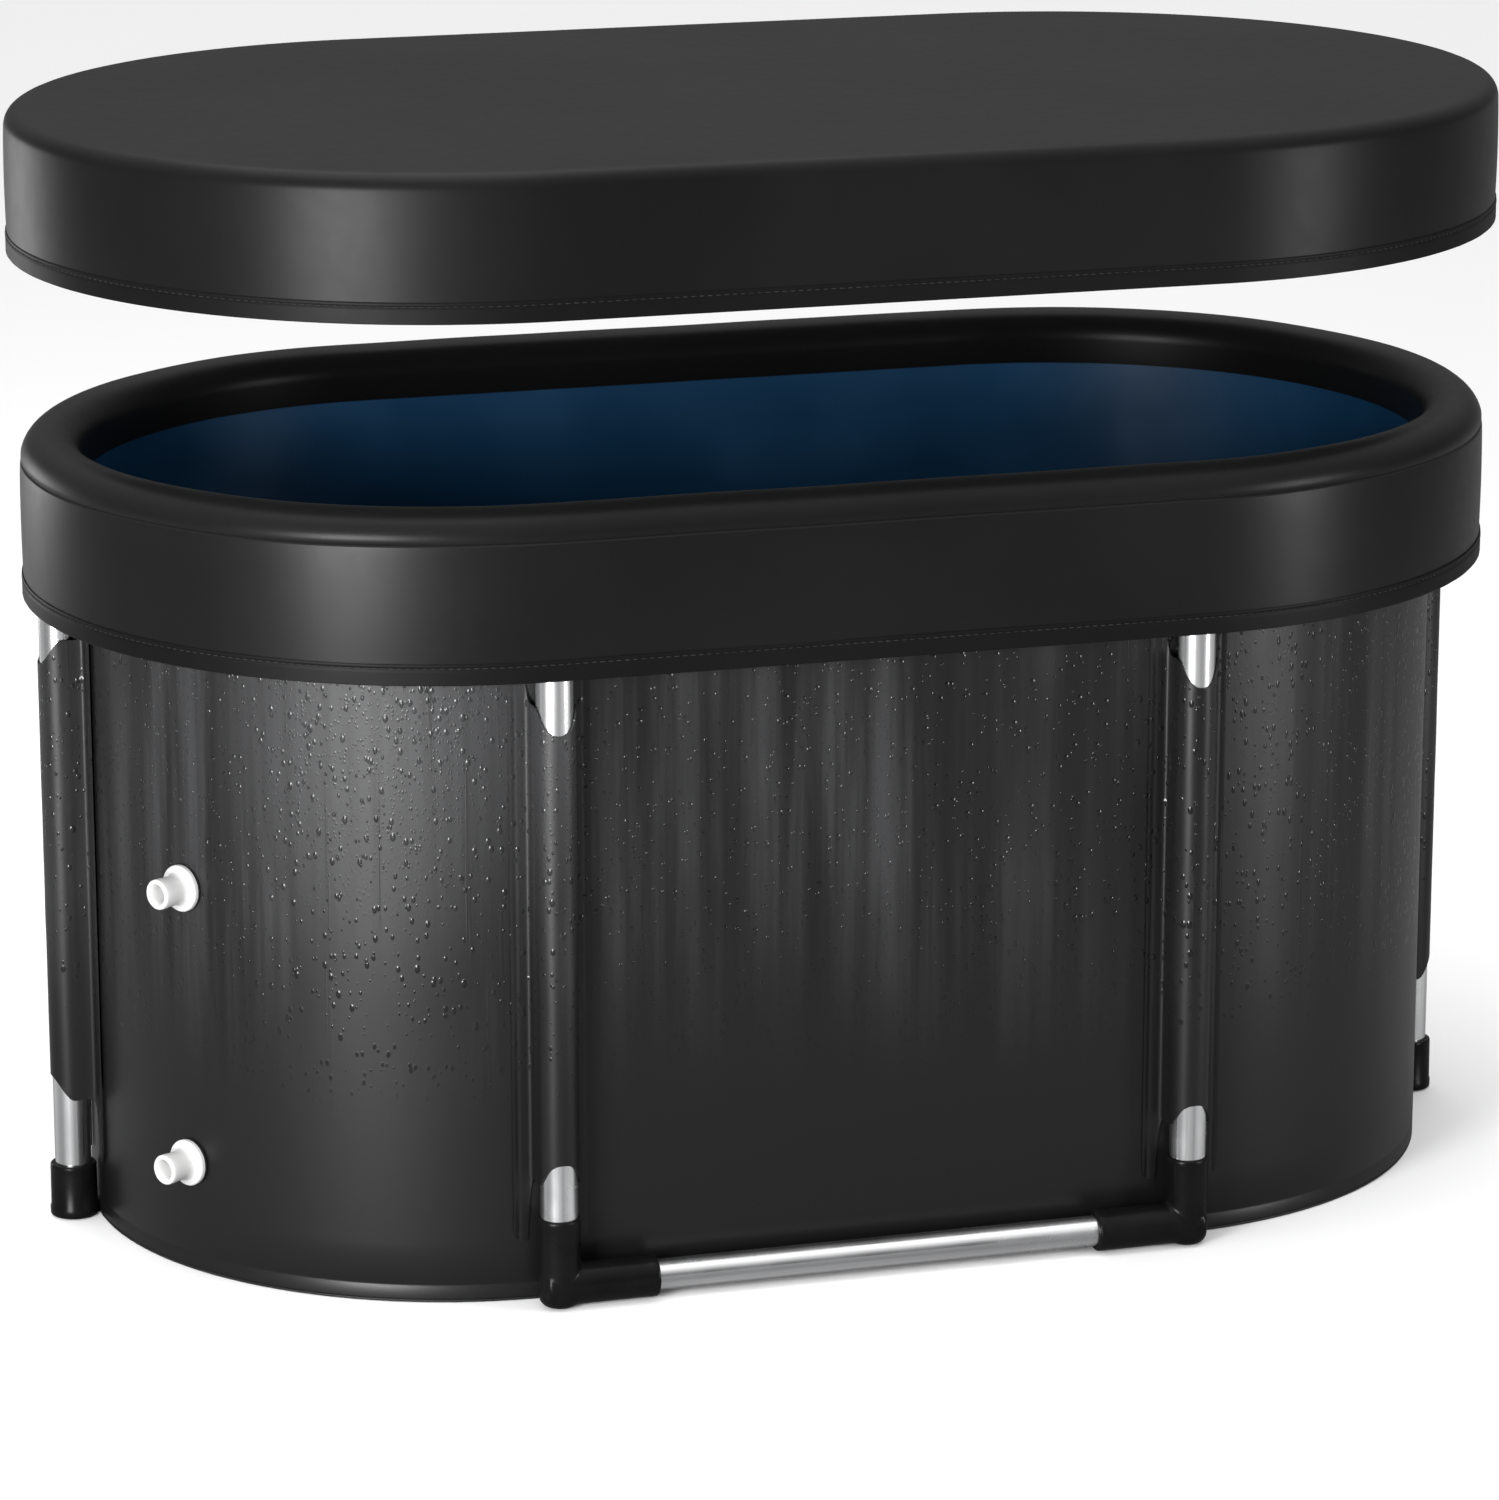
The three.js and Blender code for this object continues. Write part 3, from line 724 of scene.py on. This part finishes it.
def makeHem(name, node, body, slot):
    outer, low, top = outerRadius(node), bottomOf(node), topOf(node)
    inner = outer - hem["thick"]
    foldIn, foldUp = hem["fold"]
    groove = [(outer - inward, top - below) for inward, below in hem["groove"]]
    profile = [(inner, low), (outer - foldIn, low), (outer, low + foldUp)]
    profile += line((outer, low + foldUp), groove[0], steps=5) + groove
    profile += [(outer - inward, top - below) for inward, below in hem["rim"]] + [(inner, top)]

    def shape(stop, radius, height):
        pull = softNoise(*at(stop, 1.0), hem["fullnessSlice"], hem["fullnessSize"])
        return radius + hem["fullness"] * pull, height

    return fit(ovalShell(name, profile, hem["steps"], shape, sharp=35), body, slot, "hemCloth", node)


lidCover = makeLid()
makeLidPad()
lidHem = makeHem("lidHem", "lid_hem", "lid", "lid_fabric")
print("lid made")


# rim collar: skirt, sewn crease, rolled bead and inner flap

collar = {"bead": 0.025, "fabric": 0.002, "flap": 0.020, "crease": 0.0016, "creaseHalf": 0.0035,
          "creaseLower": (0.0002, 0.45), "creaseUpper": (0.0006, 0.5), "beadStart": 14, "liningStart": 12,
          "slack": 0.0006, "slackSize": 0.10, "swell": 0.0008, "swellTop": 0.8, "skirtTop": 0.75,
          "beadWave": 0.0007, "beadWaveSize": 0.11, "beadSlice": 2.0, "steps": (44, 72)}


def makeCollar():
    low, top = bottomOf("rim_collar"), topOf("rim_collar")
    outer, bead, thick = collarRadius, collar["bead"], collar["fabric"]
    centreR, centreZ = outer - bead, top - bead
    half = collar["creaseHalf"]
    lowerIn, lowerShare = collar["creaseLower"]
    upperIn, upperShare = collar["creaseUpper"]
    outside = [(outer, low)] + line((outer, low), (outer, centreZ - half), steps=12)
    outside += [(outer, centreZ - half), (outer - lowerIn, centreZ - half * lowerShare)]
    outside += [(outer - collar["crease"], centreZ), (outer - upperIn, centreZ + half * upperShare)]
    outside += bow(centreR, centreZ, bead, collar["beadStart"], 180, steps=26)
    outside += [(centreR - bead, centreZ - collar["flap"])]
    inside = [(centreR - bead + thick, centreZ - collar["flap"])]
    inside += bow(centreR, centreZ, bead - thick, 180, collar["liningStart"], steps=16)
    inside += [(outer - collar["crease"] - thick, centreZ)]
    inside += line((outer - thick, centreZ), (outer - thick, low), steps=6) + [(outer - thick, low)]

    def shape(stop, radius, height):
        x, y = at(stop, radius)
        rise = (height - low) / (top - low)
        if rise < collar["skirtTop"]:
            radius += collar["slack"] * softNoise(x, y, height, collar["slackSize"])
            radius += collar["swell"] * math.sin(math.pi * max(0.0, rise) / collar["swellTop"])
        else:
            height += collar["beadWave"] * softNoise(x, y, collar["beadSlice"], collar["beadWaveSize"])
        return radius, height

    piece = ovalShell("rimCollar", outside + inside, collar["steps"], shape, sharp=32)
    fit(piece, "tub", "collar_fabric", "collarCloth", "rim_collar")


makeCollar()
collarHem = makeHem("collarHem", "collar_hem", "tub", "collar_fabric")
print("rim collar made")


# walls and floor

shell = {"thick": {"outer_wall": 0.002, "wall_foam": 0.0026, "inner_liner": 0.0015},
         "ripple": {"outer_wall": 0.0007, "wall_foam": 0.0, "inner_liner": 0.0002},
         "rippleSize": 0.085, "rippleTall": 0.25, "edge": 0.0004,
         "weldHigh": 0.012, "weldHalf": 0.002, "weldFlat": 0.0008, "weldDeep": 0.0005, "steps": (60, 90)}


def makeSheetWall(name, node, slot, finish):
    outer, low, top = outerRadius(node), bottomOf(node), topOf(node)
    inner, edge = outer - shell["thick"][node], shell["edge"]
    weld, half, flat = low + shell["weldHigh"], shell["weldHalf"], shell["weldFlat"]
    pressed = outer - shell["weldDeep"]
    outside = [(outer, low + edge), (outer, weld - half)]
    outside += [(pressed, weld - flat), (pressed, weld + flat), (outer, weld + half)]
    outside += line((outer, weld + half), (outer, top), steps=18) + [(outer, top)]
    inside = [(inner, top)] + line((inner, top), (inner, low), steps=8)
    inside += [(inner, low), (outer - edge, low)]

    def shape(stop, radius, height):
        x, y = at(stop, outer)
        rise = within((height - low) / (top - low))
        wave = softShare(x, y, height * shell["rippleTall"], shell["rippleSize"])
        return radius - shell["ripple"][node] * wave * math.sin(math.pi * rise), height

    wall = ovalShell(name, outside + inside, shell["steps"], shape, sharp=40)
    cutPorts(wall)
    return fit(wall, "tub", slot, finish, node)


floorSheet = {"edge": {"base_sheet": 0.0006, "floor_pad": 0.002, "floor_liner": 0.0005},
              "puff": {"base_sheet": 0.0, "floor_pad": 0.0008, "floor_liner": 0.0004},
              "rings": (0.10, 0.2, 0.3, 0.4, 0.5, 0.6, 0.7, 0.8), "underRings": (0.25, 0.5, 0.75, 0.95),
              "weld": 0.955, "weldStep": 0.006, "weldHalf": 0.005, "weldDeep": 0.0006, "weldMost": 0.3,
              "puffSize": 0.12, "puffSlice": 5.0, "puffFade": 6, "topShare": 0.97, "topWithin": 1e-5,
              "steps": (44, 60)}


def makeFloorSheet(name, node, slot, finish):
    outer, low, top = outerRadius(node), bottomOf(node), topOf(node)
    edge = min(floorSheet["edge"][node], (top - low) / 2)
    weld, step = floorSheet["weld"], floorSheet["weldStep"]
    rings = [*floorSheet["rings"], weld - 2 * step, weld - step, weld, weld + step]
    profile = [(0.0, low)] + [(outer * share, low) for share in floorSheet["underRings"]]
    profile += bow(outer - edge, low + edge, edge, -90, 0, steps=3)
    profile += bow(outer - edge, top - edge, edge, 0, 90, steps=3)
    profile += [(outer * share, top) for share in reversed(rings)] + [(0.0, top)]

    def shape(stop, radius, height):
        share = radius / outer
        if height > top - floorSheet["topWithin"] and share < floorSheet["topShare"]:
            x, y = at(stop, radius)
            dent = softShare(x, y, floorSheet["puffSlice"], floorSheet["puffSize"])
            dent *= min(1.0, (1 - share) * floorSheet["puffFade"])
            height -= floorSheet["puff"][node] * dent
            if abs(share - weld) < floorSheet["weldHalf"]:
                height -= min(floorSheet["weldDeep"], (top - low) * floorSheet["weldMost"])
        return radius, height

    return fit(ovalShell(name, profile, floorSheet["steps"], shape, sharp=40), "tub", slot, finish, node)


outerWall = makeSheetWall("outerWall", "outer_wall", "wall_sheet", "wallSheet")
wallFoam = makeSheetWall("wallFoam", "wall_foam", "foam", "foam")
innerLiner = makeSheetWall("innerLiner", "inner_liner", "liner_sheet", "linerSheet")
baseSheet = makeFloorSheet("baseSheet", "base_sheet", "wall_sheet", "baseSheet")
floorPad = makeFloorSheet("floorPad", "floor_pad", "foam", "foam")
floorLiner = makeFloorSheet("floorLiner", "floor_liner", "liner_sheet", "linerSheet")
print("walls and floor made")


# leg sleeves: a round channel with welded side flanges and cut-out ends

sleeve = {"round": 0.0154, "fabric": 0.0013, "flange": 0.0158, "fillet": 0.0035, "corner": 0.009,
          "scallopSide": 0.0038, "topDepth": 0.078, "bottomDepth": 0.072, "squareness": 2.7,
          "weld": 0.0045, "weldHalf": 0.0012, "weldDeep": 0.0004, "wave": 0.00025, "waveSize": 0.04,
          "waveAcross": 4, "beadShift": 0.37, "flangeSteps": 10, "filletSteps": 5, "sideSteps": 3,
          "roundSteps": 24, "rows": 44}


def legAxis(place):
    middle = middleOf("leg_" + place)
    return Vector((middle.x, middle.y, 0))


def standPlace(place):  # local +X points out from the tub at this leg
    return Matrix.Translation(legAxis(place)) @ Matrix.Rotation(math.radians(facing[place]), 4, "Z")


def sleeveSection(front, halfWidth, outRadius):  # from one flange's edge round to the other's
    fillet, wide = sleeve["fillet"], halfWidth - outRadius - sleeve["fillet"]
    half = []
    for i in range(sleeve["flangeSteps"] + 1):
        half.append((front, halfWidth - wide * i / sleeve["flangeSteps"]))
    for i in range(1, sleeve["filletSteps"] + 1):
        turn = math.radians(90 * i / sleeve["filletSteps"])
        half.append((front + fillet * (1 - math.cos(turn)), outRadius + fillet * (1 - math.sin(turn))))
    for i in range(1, sleeve["sideSteps"] + 1):
        half.append(((front + fillet) * (1 - i / sleeve["sideSteps"]), outRadius))
    section = half + bow(0, 0, outRadius, 90, -90, sleeve["roundSteps"])[1:]
    return section + [(x, -y) for x, y in reversed(half[:-1])]


def sleeveEnds(node, width, halfWidth, cutHalf):  # the cloth's lowest and highest point at this width
    low, high = bottomOf(node), topOf(node)
    if width < cutHalf:
        arch = (1 - (width / cutHalf) ** sleeve["squareness"]) ** (1 / sleeve["squareness"])
        low += sleeve["bottomDepth"] * arch
        high -= sleeve["topDepth"] * arch
    past = width - (halfWidth - sleeve["corner"])
    if past > 0:
        lift = sleeve["corner"] - math.sqrt(max(0.0, sleeve["corner"] ** 2 - past ** 2))
        low += lift
        high -= lift
    return low, high


def makeSleeve(place):
    node = "leg_sleeve_" + place
    outRadius = sleeve["round"] + sleeve["fabric"]
    halfWidth = outRadius + sleeve["flange"]
    cutHalf = outRadius + sleeve["scallopSide"]
    weldMiddle = halfWidth - sleeve["weld"]
    spot = standPlace(place)
    out = spot.to_3x3() @ Vector((1, 0, 0))
    back = min((corner - legAxis(place)).dot(out) for corner in nodeBox(node))
    section = sleeveSection(back + sleeve["fabric"], halfWidth, outRadius)
    across = [0.0]
    for (x0, y0), (x1, y1) in zip(section, section[1:]):
        across.append(across[-1] + math.hypot(x1 - x0, y1 - y0))
    rows = sleeve["rows"]
    grid, heights = [], []
    for x, y in section:
        width = abs(y)
        low, high = sleeveEnds(node, width, halfWidth, cutHalf)
        press = sleeve["weldDeep"] if abs(width - weldMiddle) < sleeve["weldHalf"] else 0.0
        loose = sleeve["wave"] if width < outRadius else 0.0
        for k in range(rows + 1):
            share = k / rows
            height = low + (high - low) * share
            wave = softNoise(y * sleeve["waveAcross"], height, facing[place], sleeve["waveSize"])
            wave *= loose * math.sin(math.pi * share)
            heights.append(height)
            grid.append(spot @ Vector((x - press + wave, y, height)))
    shift = sleeve["beadShift"] * legPlaces.index(place)  # no two sleeves carry the same beads
    faces, uvs = [], []
    for i in range(len(section) - 1):
        u0, u1 = shift + across[i], shift + across[i + 1]
        for k in range(rows):
            a, b = i * (rows + 1) + k, (i + 1) * (rows + 1) + k
            faces.append((a, b, b + 1, a + 1))
            uvs += [(u0, heights[a]), (u1, heights[b]), (u1, heights[b + 1]), (u0, heights[a + 1])]
    piece = makePiece("legSleeve." + place, grid, faces, uvs, sharp=60)
    middle = piece.data.polygons[(len(section) // 2) * rows + rows // 2]
    wall = piece.modifiers.new("cloth", "SOLIDIFY")
    wall.thickness = sleeve["fabric"]
    wall.offset = 1.0 if middle.normal.dot(out) < 0 else -1.0  # the thickness goes inwards
    wall.use_even_offset = True
    settle(piece)
    smooth(piece.data, sharp=45)
    fit(piece, "tub", "wall_sheet", "wallSheet", node)


for place in legPlaces:
    makeSleeve(place)
print("leg sleeves made")


# steel tubes

tube = {"wall": 0.0012, "edge": 0.0004, "legRadius": 0.015, "sides": 56, "rows": 10}


def makeTube(name, node, radius, place, low, high):
    inner, edge = radius - tube["wall"], tube["edge"]
    profile = [(radius - edge, low), (radius, low + edge)]
    profile += line((radius, low), (radius, high), tube["rows"])
    profile += [(radius, high - edge), (radius - edge, high), (inner, high), (inner, low)]
    fit(turned(name, profile, place, tube["sides"]), "tub", "steel", "steel", node)


for place in legPlaces:
    node = "leg_" + place
    upright = Matrix.Translation(legAxis(place))
    makeTube("leg." + place, node, tube["legRadius"], upright, bottomOf(node), topOf(node))
for side in ("front", "back"):
    node = "bottom_rail_" + side
    low, high = nodeBox(node)
    middle = middleOf(node)
    lying = Matrix.Translation((0, middle.y, middle.z)) @ Matrix.Rotation(math.pi / 2, 4, "Y")
    makeTube("bottomRail." + side, node, (high.z - low.z) / 2, lying, low.x, high.x)
print("tubes made")


# foot elbows and caps

foot = {"radius": 0.0175, "slim": 0.0004, "armSlim": 0.0006, "reach": 0.080, "armBack": 0.004,
        "bevel": 0.009, "armBevel": 0.004, "lip": 0.0003, "lipLong": 0.007, "lipRound": 0.0012,
        "voxel": 0.0012, "easing": 0.5, "easings": 14, "legBore": 0.0156, "railBore": 0.0131,
        "seat": 0.036, "railStart": 0.0207, "cutPast": 0.01, "sides": 48}


def lippedRod(name, radius, low, high, place, bevel):
    lip, ease = radius + foot["lip"], foot["lipRound"]
    profile = [(0.0, low)] + bow(radius - bevel, low + bevel, bevel, -90, 0, steps=5)
    profile += [(radius, high - foot["lipLong"] - ease), (lip, high - foot["lipLong"])]
    profile += bow(lip - ease, high - ease, ease, 0, 90, steps=4) + [(0.0, high)]
    return turned(name, profile, place, foot["sides"])


def bore(piece, radius, low, high, place):
    profile = [(0, low), (radius, low), (radius, high), (0, high)]
    combine(piece, turned("cut", profile, place, foot["sides"]), "DIFFERENCE")


def makeElbow(place):
    node = "foot_elbow_" + place
    axis = legAxis(place)
    toward = 1 if axis.x < 0 else -1
    radius, high = foot["radius"], topOf(node)
    upright = Matrix.Translation(axis)
    sideways = Matrix.Translation(axis + Vector((0, 0, radius)))
    sideways = sideways @ Matrix.Rotation(toward * math.pi / 2, 4, "Y")
    piece = lippedRod("footElbow." + place, radius - foot["slim"], 0.0, high, upright, foot["bevel"])
    arm = lippedRod("arm", radius - foot["armSlim"], foot["armBack"] - radius, foot["reach"], sideways,
                    foot["armBevel"])
    combine(piece, arm, "UNION")
    grid = piece.modifiers.new("mould", "REMESH")
    grid.mode = "VOXEL"
    grid.voxel_size = foot["voxel"]
    ease = piece.modifiers.new("ease", "SMOOTH")
    ease.factor = foot["easing"]
    ease.iterations = foot["easings"]
    settle(piece)
    bore(piece, foot["legBore"], foot["seat"], high + foot["cutPast"], upright)
    bore(piece, foot["railBore"], foot["railStart"], foot["reach"] + foot["cutPast"], sideways)
    smooth(piece.data, sharp=50)
    fit(piece, "tub", "joint_plastic", "jointPlastic", node)


cap = {"radius": 0.020, "bore": 0.0156, "floor": 0.008, "toeRound": 0.0022, "toeTop": 0.0075,
       "neckIn": 0.0007, "neckStart": 0.0090, "taper": 0.0009, "neckEnd": 0.0040, "rimRound": 0.0021,
       "sides": 64}


def makeFootCap(place):
    node = "foot_cap_" + place
    high, r = topOf(node), cap["radius"]
    toe, rim = cap["toeRound"], cap["rimRound"]
    profile = [(0.0, 0.0)] + bow(r - toe, toe, toe, -90, 0, steps=5) + [(r, cap["toeTop"])]
    profile += [(r - cap["neckIn"], cap["neckStart"]), (r - cap["taper"], high - cap["neckEnd"])]
    profile += bow(r - cap["taper"] - rim, high - rim, rim, 0, 90, steps=5)
    profile += [(cap["bore"], high), (cap["bore"], cap["floor"]), (0.0, cap["floor"])]
    piece = turned("footCap." + place, profile, Matrix.Translation(legAxis(place)), cap["sides"])
    fit(piece, "tub", "joint_plastic", "jointPlastic", node)


for place in legPlaces:
    if place.endswith("end"):
        makeFootCap(place)
    else:
        makeElbow(place)
print("feet made")


# stitches round the hems, by geometry nodes

stitch = {"pitch": 0.0066, "long": 0.0048, "thick": 0.0011, "fromTop": 0.0034, "sink": 0.0002,
          "segments": 6, "rings": 4, "steps": (40, 80)}


def stitchTree():
    tree = bpy.data.node_groups.new("stitchRow", "GeometryNodeTree")
    face = tree.interface
    face.new_socket(name="Geometry", in_out="INPUT", socket_type="NodeSocketGeometry")
    for name in ("Pitch", "Length", "Thickness"):
        face.new_socket(name=name, in_out="INPUT", socket_type="NodeSocketFloat")
    face.new_socket(name="Finish", in_out="INPUT", socket_type="NodeSocketMaterial")
    face.new_socket(name="Geometry", in_out="OUTPUT", socket_type="NodeSocketGeometry")
    start = add(tree, "NodeGroupInput").outputs
    row = {"Curve": start["Geometry"], "Length": start["Pitch"]}
    row = add(tree, "GeometryNodeResampleCurve", row, mode="LENGTH")
    ball = {"Segments": stitch["segments"], "Rings": stitch["rings"], "Radius": 0.5}
    ball = add(tree, "GeometryNodeMeshUVSphere", ball)  # one across, so its scale is its size
    size = {"X": start["Thickness"], "Y": start["Thickness"], "Z": start["Length"]}
    size = add(tree, "ShaderNodeCombineXYZ", size)
    loop = {"Geometry": ball.outputs["Mesh"], "Scale": size.outputs["Vector"]}
    loop = add(tree, "GeometryNodeTransform", loop)
    along = add(tree, "GeometryNodeInputTangent").outputs["Tangent"]
    along = add(tree, "FunctionNodeAlignRotationToVector", {"Vector": along}, axis="Z")
    spread = {"Points": row.outputs["Curve"], "Instance": loop.outputs["Geometry"],
              "Rotation": along.outputs["Rotation"]}
    spread = add(tree, "GeometryNodeInstanceOnPoints", spread)
    real = add(tree, "GeometryNodeRealizeInstances", {"Geometry": spread.outputs["Instances"]})
    paint = {"Geometry": real.outputs["Geometry"], "Material": start["Finish"]}
    paint = add(tree, "GeometryNodeSetMaterial", paint)
    add(tree, "NodeGroupOutput", {"Geometry": paint.outputs["Geometry"]})
    return tree


def makeStitches(name, node, body, slot, tree):
    radius = outerRadius(node) - stitch["sink"]
    height = topOf(node) - stitch["fromTop"]
    curve = bpy.data.curves.new(name, "CURVE")
    curve.dimensions = "3D"
    path = curve.splines.new("POLY")
    stops = ovalStops(*stitch["steps"])
    path.points.add(len(stops) - 1)
    for point, stop in zip(path.points, stops):
        point.co = (*at(stop, radius), height, 1)
    path.use_cyclic_u = True
    row = put(name, curve)
    nodes = row.modifiers.new("stitches", "NODES")
    nodes.node_group = tree
    values = {"Pitch": stitch["pitch"], "Length": stitch["long"], "Thickness": stitch["thick"],
              "Finish": finishes["thread"]}
    for item in tree.interface.items_tree:
        if item.name in values:
            nodes[item.identifier] = values[item.name]
    mesh = baked(row)
    bpy.data.objects.remove(row)
    mesh.shade_smooth()
    return fit(put(name, mesh), body, slot, "thread")


stitchRow = stitchTree()
lidStitches = makeStitches("lidStitches", "lid_hem", "lid", "lid_fabric", stitchRow)
collarStitches = makeStitches("collarStitches", "collar_hem", "tub", "collar_fabric", stitchRow)
print("stitches made:", len(lidStitches.data.polygons) + len(collarStitches.data.polygons), "faces")
# frame pieces that keep their CAD shape

kept = {"frame_tee_": "jointPlastic", "snap_button_": "steel", "top_rail_": "steel",
        "_gasket": "rubber", "_lock_nut": "portPlastic"}


def dressKept():
    count = 0
    for node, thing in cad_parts.items():
        for part, finish in kept.items():
            if part in node:
                thing.data.materials.clear()
                thing.data.materials.append(finishes[finish])
                count += 1
    return count


print("frame pieces dressed:", dressKept())

low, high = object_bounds()
print("visual box", [round(v, 4) for v in (*low, *high)])
